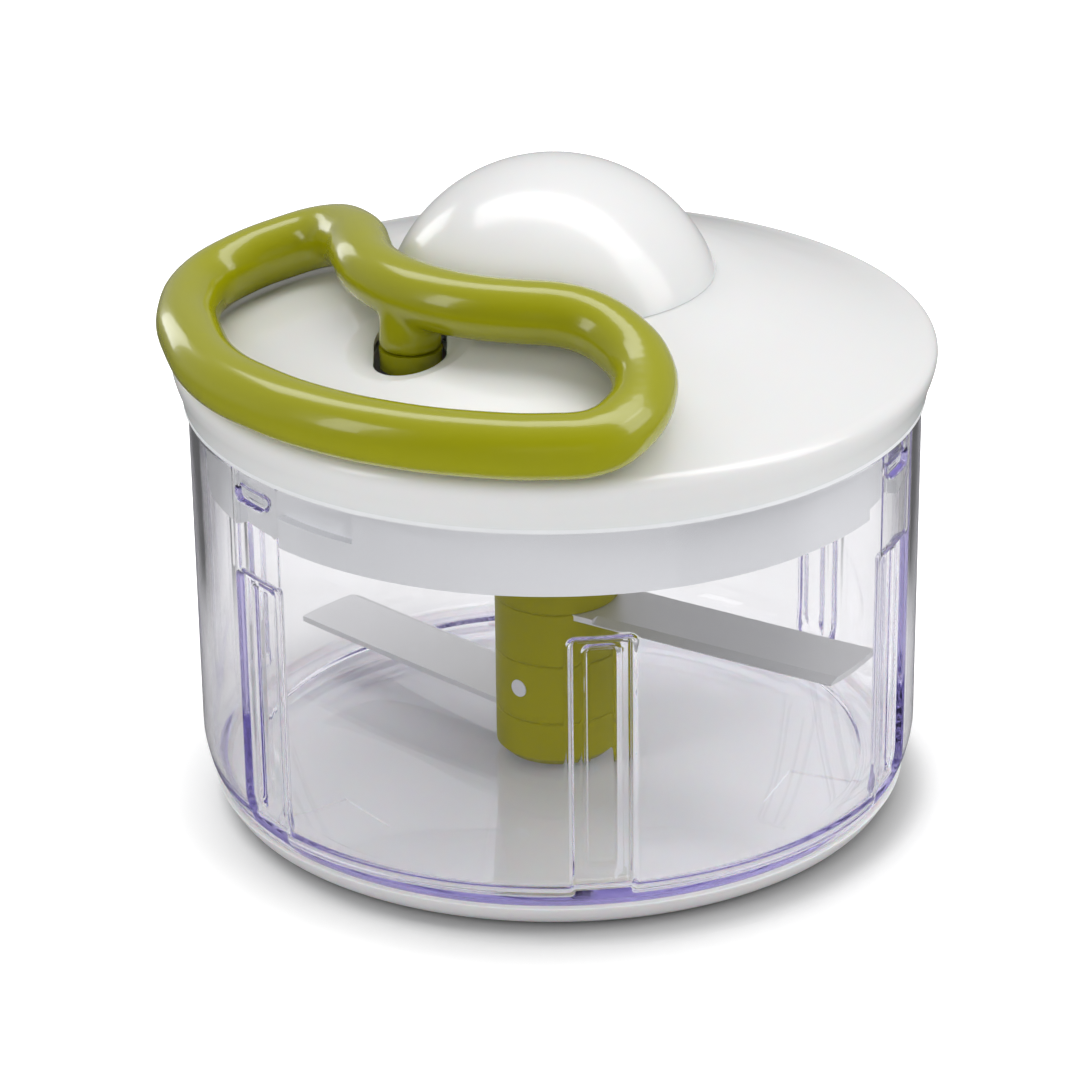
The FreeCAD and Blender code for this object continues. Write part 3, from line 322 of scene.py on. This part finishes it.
milky_rubber, nodes, links, shader = new_material("milky_rubber")
shader.inputs["Base Color"].default_value = (0.84, 0.84, 0.86, 1)
shader.inputs["Subsurface Weight"].default_value = 0.3
shader.inputs["Subsurface Scale"].default_value = 0.004
grain = add_texture(nodes, links, "ShaderNodeTexNoise", Scale=900.0, Detail=3.0)
add_roughness(nodes, links, shader, grain, 0.38, 0.5)
add_bump(nodes, links, shader, grain, 0.08, 0.0002)
foot_outline = rounded([
    (0, 0), (FOOT_RADIUS, 0, 2.5), (*FOOT_LAP, 0.5), (68.5, 5.0, 0.3), (67.2, 4.1),
    (60, FOOT_TOP), (0, FOOT_TOP),
])
foot_pad = finished(
    "foot_pad", turned(foot_outline, 256, closed=False), milky_rubber, "bowl", "milky_rubber", "nonslip_base")
for number in range(-1, 2):
    turn = Matrix.Rotation(math.radians(RECESS_FIRST + LUG_PITCH * number), 3, "Z")
    recess = bmesh.new()
    bmesh.ops.create_cube(recess, size=1)
    bmesh.ops.scale(recess, verts=recess.verts, vec=(RECESS_SIDE, RECESS_SIDE, 2 * RECESS_DEEP))
    bmesh.ops.translate(recess, verts=recess.verts, vec=(0, RECESS_PLACE, FOOT_TOP * MM))
    bmesh.ops.rotate(recess, verts=recess.verts, cent=(0, 0, 0), matrix=turn)
    combined(foot_pad, recess, "DIFFERENCE")


# ---- Lid cover: the glossy white top shell, moulded in one and screwed to the lid base from below. Its ----
# rim rolls over into a nearly straight cone, and the cord leaves through a flared hole beside the dome.
DOME_SEAT = 108.7
OUTLET_X = -0.0274
BOSS_Y = -0.0292
SLOT_RADIUS = 0.0070
SLOT_NEAR = -0.0258
SLOT_FAR = -0.0322
FUNNEL_MOUTH = (-0.0272, -0.0294, 0.1054)
FUNNEL_LEAN = Matrix.Rotation(math.radians(16), 3, (0.73, -0.69, 0))
white_gloss, nodes, links, shader = new_material("white_gloss")
shader.inputs["Base Color"].default_value = (0.80, 0.80, 0.80, 1)
shader.inputs["Coat Weight"].default_value = 0.35
shader.inputs["Coat Roughness"].default_value = 0.08
shader.inputs["Subsurface Weight"].default_value = 0.12
shader.inputs["Subsurface Scale"].default_value = 0.003
polish = add_texture(nodes, links, "ShaderNodeTexNoise", Scale=60.0, Detail=4.0)
add_roughness(nodes, links, shader, polish, 0.19, 0.29)
add_bump(nodes, links, shader, polish, 0.03, 0.0003)


cover_outline = rounded([
    (72.85, 85.3), (73.5, 88.0, 1.5), (74.4, 90.4, 1.5), (75.0, 93.2, 1.4), (73.9, 94.9, 1.4),
    (68.6, 96.45, 4),
    (50.0, 102.95, 8), (31.2, DOME_SEAT), (29.8, DOME_SEAT), (29.8, 104.5), (31.8, 104.5), (31.8, 105.5),
    (50.0, 100.5), (70.8, 92.55, 1.5), (73.0, 91.4, 1), (70.85, 85.3),
], steps=10)
cover_shell = finished(
    "cover_shell", turned(cover_outline, 360), white_gloss, "lid", "white_plastic", "lid_cover", sharp=35)
# The hole is a slot that runs towards the lid's edge, with a boss under it and a funnel round its mouth.
boss = turned([(0, 95.4), (12.2, 95.4), (12.2, 101.4), (0, 101.4)], 96, closed=False)
bmesh.ops.translate(boss, verts=boss.verts, vec=(OUTLET_X, BOSS_Y, 0))
combined(cover_shell, boss, "UNION")
slot = bmesh.new()
bmesh.ops.create_circle(slot, cap_ends=True, segments=96, radius=SLOT_RADIUS)
for vertex in slot.verts:
    vertex.co.x += OUTLET_X
    vertex.co.y += SLOT_FAR if vertex.co.y < 0 else SLOT_NEAR
    vertex.co.z = 0.09
walls = bmesh.ops.extrude_face_region(slot, geom=slot.faces[:])
raised = [item for item in walls["geom"] if isinstance(item, bmesh.types.BMVert)]
bmesh.ops.translate(slot, verts=raised, vec=(0, 0, 0.03))
bmesh.ops.recalc_face_normals(slot, faces=slot.faces)
combined(cover_shell, slot, "DIFFERENCE")
flare = [(0, -2.2), (6.6, -2.2), (7.4, -1.9), (8.6, -1.2), (10.2, -0.55), (12.2, -0.1)]
flare += [(15, 0.9), (24, 6), (0, 9)]
funnel = turned(flare, 128, closed=False)
bmesh.ops.rotate(funnel, verts=funnel.verts, cent=(0, 0, 0), matrix=FUNNEL_LEAN)
bmesh.ops.translate(funnel, verts=funnel.verts, vec=FUNNEL_MOUTH)
combined(cover_shell, funnel, "DIFFERENCE")


# ---- Dome: a separate glossy white cap over the reel, a shallow part of a ball with a spigot. ----
# It is pushed into the collar of the lid cover.
DOME_TOP = 130.7
DOME_BALL = 33.69
DOME_LEAN = math.radians(69.7)
DOME_STEPS = 24
dome_outline = []
for step in range(DOME_STEPS + 1):
    lean = DOME_LEAN * step / DOME_STEPS
    dome_outline.append((DOME_BALL * math.sin(lean), DOME_TOP - DOME_BALL * (1 - math.cos(lean))))
dome_outline += [(29.5, DOME_SEAT), (29.5, 106.6), (27.7, 106.6)]
dome_outline += [(27.7, 112.7), (20, 120.8), (10, 126.9), (0, 128.9)]
dome_mesh = turned(dome_outline, 256, closed=False)
finished("dome_shell", dome_mesh, white_gloss, "lid", "white_plastic", "dome_cap", sharp=35)


# ---- Lid base: the white lower half, whose skirt drops inside the bowl with its bayonet tracks. ----
# The reel, its spring cup and the drive under the dome are moulded of the same plain plastic.
def give_finish(material, *names):
    """Give one finish to CAD nodes that show as they are."""
    for name in names:
        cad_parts[name].data.materials.clear()
        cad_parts[name].data.materials.append(material)


white_inner, nodes, links, shader = new_material("white_inner")
shader.inputs["Base Color"].default_value = (0.86, 0.87, 0.89, 1)
satin = add_texture(nodes, links, "ShaderNodeTexNoise", Scale=300.0, Detail=3.0)
add_roughness(nodes, links, shader, satin, 0.3, 0.42)
add_bump(nodes, links, shader, satin, 0.05, 0.0002)
give_finish(white_inner, "lid_base", "spring_cup", "reel_drum", "cord_guide")
give_finish(white_inner, "drive_bush", "drive_shaft", "clutch_pawls")


# ---- Hub: four satin lime mouldings stacked over the post; the seams between them are open grooves. The ----
# stem's plug has the glossy lime of the handle.
lime_gloss, nodes, links, shader = new_material("lime_gloss")
shader.inputs["Base Color"].default_value = (0.325, 0.325, 0.0012, 1)
shader.inputs["Coat Weight"].default_value = 0.4
shader.inputs["Coat Roughness"].default_value = 0.05
gloss = add_texture(nodes, links, "ShaderNodeTexNoise", Scale=80.0, Detail=4.0)
add_roughness(nodes, links, shader, gloss, 0.16, 0.28)
add_bump(nodes, links, shader, gloss, 0.03, 0.0003)
give_finish(lime_gloss, "stem_plug")

lime_satin, nodes, links, shader = new_material("lime_satin")
shader.inputs["Base Color"].default_value = (0.255, 0.235, 0.001, 1)
shader.inputs["Specular IOR Level"].default_value = 0.12
grain = add_texture(nodes, links, "ShaderNodeTexNoise", Scale=200.0, Detail=3.0)
add_roughness(nodes, links, shader, grain, 0.35, 0.5)
add_bump(nodes, links, shader, grain, 0.05, 0.0002)
give_finish(lime_satin, "hub_top_cap", "hub_spacer_upper", "hub_spacer_lower", "hub_bottom")


# ---- Blades and steel parts: blades stamped of satin sheet, clamped between the hub's pieces, and plain ----
# turned pins and screws and the flat spring.
blade_steel, nodes, links, shader = new_material("blade_steel")
shader.inputs["Base Color"].default_value = (0.68, 0.68, 0.69, 1)
shader.inputs["Metallic"].default_value = 0.7
brushed = add_texture(nodes, links, "ShaderNodeTexNoise", Scale=700.0, Detail=5.0)
add_roughness(nodes, links, shader, brushed, 0.42, 0.54)
add_bump(nodes, links, shader, brushed, 0.05, 0.0001)
give_finish(blade_steel, "blade_upper", "blade_lower", "hub_pin")
give_finish(blade_steel, "reel_axle", "recoil_spring", "shaft_clip", "housing_screws")


# ---- Cord and seal: a thin braided white cord, wound on the reel and led up to the plug, and a soft ----
# milky ring in the skirt's groove.
cord_fabric, nodes, links, shader = new_material("cord_fabric")
shader.inputs["Base Color"].default_value = (0.7, 0.7, 0.68, 1)
braid = add_texture(nodes, links, "ShaderNodeTexWave", Scale=500.0, Distortion=1.0)
add_roughness(nodes, links, shader, braid, 0.6, 0.8)
add_bump(nodes, links, shader, braid, 0.4, 0.0003)
give_finish(cord_fabric, "cord_winding", "cord_lead", "cord_tail", "cord_knot")
give_finish(milky_rubber, "lid_seal")


# ---- Handle: one glossy lime moulding, a round loop draped over the lid, with a stem that drops to the ----
# plug. The points of its middle line are a radius and an angle from -Y.
GRIP_RADIUS = 6.2
GRIP_LIFT = 7.5
CONE_LOW_RADIUS = 68.6
CONE_LOW_HEIGHT = 96.3
CONE_HIGH_RADIUS = 31.6
CONE_HIGH_HEIGHT = DOME_SEAT
STEM_PLACE = (-0.0274, -0.0257, 0)
LOOP = [
    (73.4, -60), (73.4, -48), (73.4, -36), (73.4, -24), (73.4, -12), (73.4, -1), (72.6, 5.6), (69.0, 10.2),
    (61.5, 15.2), (53.8, 17.0), (46.6, 15.0), (41.0, 9.6), (38.2, 1.5), (37.5, -10), (37.5, -22), (37.5, -34),
    (37.5, -46.8), (37.5, -58), (37.5, -70), (37.3, -82), (38.6, -94.5), (45.9, -105.6), (56.3, -104.4),
    (62.6, -101), (68.2, -95), (71.0, -84.4), (72.0, -73),
]


def loop_height(radius):
    """The height of the loop's middle line, which follows the lid's cone from above."""
    slope = (CONE_HIGH_HEIGHT - CONE_LOW_HEIGHT) / (CONE_LOW_RADIUS - CONE_HIGH_RADIUS)
    return CONE_LOW_HEIGHT + GRIP_LIFT + (CONE_LOW_RADIUS - radius) * slope


route = bpy.data.curves.new("route", "CURVE")
route.dimensions = "3D"
route.resolution_u = 8
route.bevel_depth = GRIP_RADIUS * MM
route.bevel_resolution = 10
line = route.splines.new("BEZIER")
line.bezier_points.add(len(LOOP) - 1)
for knot, (radius, degrees) in zip(line.bezier_points, LOOP):
    turn = math.radians(degrees)
    knot.co = Vector((radius * math.sin(turn), -radius * math.cos(turn), loop_height(radius))) * MM
    knot.handle_left_type = "AUTO"
    knot.handle_right_type = "AUTO"
line.use_cyclic_u = True
route_object = bpy.data.objects.new("route", route)
bpy.context.scene.collection.objects.link(route_object)
bpy.context.view_layer.update()
ready_route = route_object.evaluated_get(bpy.context.evaluated_depsgraph_get())
grip_mesh = bmesh.new()
grip_mesh.from_mesh(bpy.data.meshes.new_from_object(ready_route))
bpy.data.objects.remove(route_object)
bmesh.ops.remove_doubles(grip_mesh, verts=grip_mesh.verts, dist=1e-6)
stem_mesh = turned([(0, 103), (6.1, 103), (6.0, 106), (5.8, 110), (5.75, 114), (0, 114)], 48, closed=False)
bmesh.ops.translate(stem_mesh, verts=stem_mesh.verts, vec=STEM_PLACE)
stem_data = bpy.data.meshes.new("stem")
stem_mesh.to_mesh(stem_data)
stem_mesh.free()
grip_mesh.from_mesh(stem_data)
grip = finished("grip_loop", grip_mesh, lime_gloss, "handle", "lime_plastic", "handle_grip", sharp=180)
merge = grip.modifiers.new("merge", "REMESH")
merge.mode = "VOXEL"
merge.voxel_size = 0.0007
merge.use_smooth_shade = True
settle = grip.modifiers.new("settle", "SMOOTH")
settle.factor = 0.5
settle.iterations = 8


# ---- Floor: a matt white table top. For camera rays a painted shadow ring darkens it round the foot, and ----
# a painted glow lifts it to plain white a little way out, clearing the real shadow. A ray that has passed
# through the clear bowl finds it painted darker in front and at the four corners, a painted shade that stands
# for dark cards beside the table, so the bowl gets dark outlines.
FLOOR_SIZE = 6


def faded(nodes, links, value, start, end, low=0.0, high=1.0):
    """A value that goes from low to high while another goes from start to end."""
    fade = nodes.new("ShaderNodeMapRange")
    fade.inputs["From Min"].default_value = start
    fade.inputs["From Max"].default_value = end
    fade.inputs["To Min"].default_value = low
    fade.inputs["To Max"].default_value = high
    links.new(value, fade.inputs["Value"])
    return fade.outputs["Result"]


def worked(nodes, links, operation, *values):
    """What a sum makes of values from other nodes."""
    step = nodes.new("ShaderNodeMath")
    step.operation = operation
    for number, value in enumerate(values):
        links.new(value, step.inputs[number])
    return step.outputs["Value"]


def parted(nodes, links, vector):
    """The three numbers of a place or a direction."""
    parts = nodes.new("ShaderNodeSeparateXYZ")
    links.new(vector, parts.inputs["Vector"])
    return parts.outputs


floor_mesh = bmesh.new()
bmesh.ops.create_grid(floor_mesh, x_segments=1, y_segments=1, size=FLOOR_SIZE)
floor_data = bpy.data.meshes.new("floor")
floor_mesh.to_mesh(floor_data)
floor_mesh.free()
floor = bpy.data.objects.new("floor", floor_data)
bpy.context.scene.collection.objects.link(floor)
floor_material, nodes, links, shader = new_material("floor")
shader.inputs["Roughness"].default_value = 0.9
shader.inputs["Specular IOR Level"].default_value = 0.0
shader.inputs["Emission Color"].default_value = (1, 1, 1, 1)
spot = nodes.new("ShaderNodeTexCoord")
parts = parted(nodes, links, spot.outputs["Object"])
ray = nodes.new("ShaderNodeLightPath")
# Painted shade for rays seen through the bowl: the floor is darker at the four corners and in front.
beside = faded(nodes, links, worked(nodes, links, "ABSOLUTE", parts["X"]), 0.08, 0.12)
beyond = faded(nodes, links, worked(nodes, links, "ABSOLUTE", parts["Y"]), 0.05, 0.09)
corner = faded(nodes, links, worked(nodes, links, "MULTIPLY", beside, beyond), 0, 1, 1.0, 0.12)
front = faded(nodes, links, parts["Y"], -0.09, -0.15, 0.9, 0.35)
# Painted contact shadow: for camera rays the floor is darker in a ring round the foot, set off towards the
# front right.
reach = nodes.new("ShaderNodeVectorMath")
reach.operation = "DISTANCE"
reach.inputs[1].default_value = (0.003, -0.003, 0)
links.new(spot.outputs["Object"], reach.inputs[0])
painted_contact_shadow = faded(nodes, links, reach.outputs["Value"], 0.063, 0.0745, 0.45, 0.95)
painted_contact_shadow.node.interpolation_type = "SMOOTHSTEP"
painted_shade_albedo = nodes.new("ShaderNodeMix")
links.new(ray.outputs["Is Transmission Ray"], painted_shade_albedo.inputs["Factor"])
links.new(painted_contact_shadow, painted_shade_albedo.inputs["A"])
links.new(worked(nodes, links, "MULTIPLY", corner, front), painted_shade_albedo.inputs["B"])
links.new(painted_shade_albedo.outputs["Result"], shader.inputs["Base Color"])
# Painted glow: for camera rays the floor gives off light that grows away from the foot and hides the real
# shadow there.
painted_glow_ramp = faded(nodes, links, reach.outputs["Value"], 0.068, 0.086, 0, 0.45)
painted_glow = worked(nodes, links, "MULTIPLY", ray.outputs["Is Camera Ray"], painted_glow_ramp)
links.new(painted_glow, shader.inputs["Emission Strength"])
floor_data.materials.append(floor_material)
floor.visible_glossy = False


# ---- World: plain white light, dimmer for what shines back off the chopper from in front and from below ----
# and dark at both sides for what is seen through the bowl.
world = bpy.data.worlds.new("studio")
bpy.context.scene.world = world
world.use_nodes = True
nodes = world.node_tree.nodes
links = world.node_tree.links
sky = nodes["Background"]
sky.inputs["Color"].default_value = (1, 1, 1, 1)
way = nodes.new("ShaderNodeTexCoord")
parts = parted(nodes, links, way.outputs["Generated"])
ray = nodes.new("ShaderNodeLightPath")
behind = faded(nodes, links, parts["Y"], -0.8, 0.0, 0.02, 0.4)
above = faded(nodes, links, parts["Z"], -0.3, -0.05, 0.25, 1.0)
mirrored = nodes.new("ShaderNodeMix")
mirrored.inputs["A"].default_value = 0.36
links.new(ray.outputs["Is Glossy Ray"], mirrored.inputs["Factor"])
links.new(worked(nodes, links, "MULTIPLY", behind, above), mirrored.inputs["B"])
through = nodes.new("ShaderNodeMix")
links.new(ray.outputs["Is Transmission Ray"], through.inputs["Factor"])
links.new(mirrored.outputs["Result"], through.inputs["A"])
aside = faded(nodes, links, worked(nodes, links, "ABSOLUTE", parts["X"]), 0.5, 0.8, 1.0, 0.04)
links.new(aside, through.inputs["B"])
links.new(through.outputs["Result"], sky.inputs["Strength"])


# ---- Lamps: one broad lamp overhead, a small one behind at the left that draws a line on the grip, ----
# and three soft fills.
def add_lamp(name, place, width, height, power):
    """A rectangular soft lamp that points at the chopper's middle."""
    data = bpy.data.lights.new(name, "AREA")
    data.shape = "RECTANGLE"
    data.size = width
    data.size_y = height
    data.energy = power
    lamp = bpy.data.objects.new(name, data)
    lamp.location = place
    lamp.rotation_euler = (Vector((0, 0, 0.08)) - Vector(place)).to_track_quat("-Z", "Y").to_euler()
    bpy.context.scene.collection.objects.link(lamp)
    return lamp


add_lamp("overhead", (0.1, 0.25, 1.2), 2.2, 0.5, 12)
add_lamp("left_back", (-0.9, 1.0, 0.35), 0.3, 0.7, 1.8)
add_lamp("left_fill", (-1.2, -0.7, 0.7), 0.4, 0.9, 3.5)
add_lamp("right_fill", (1.2, -0.2, 0.8), 0.6, 0.9, 4.5)
front_fill = add_lamp("front_fill", (0.2, -1.6, 0.4), 1.4, 0.5, 5)
front_fill.visible_glossy = False
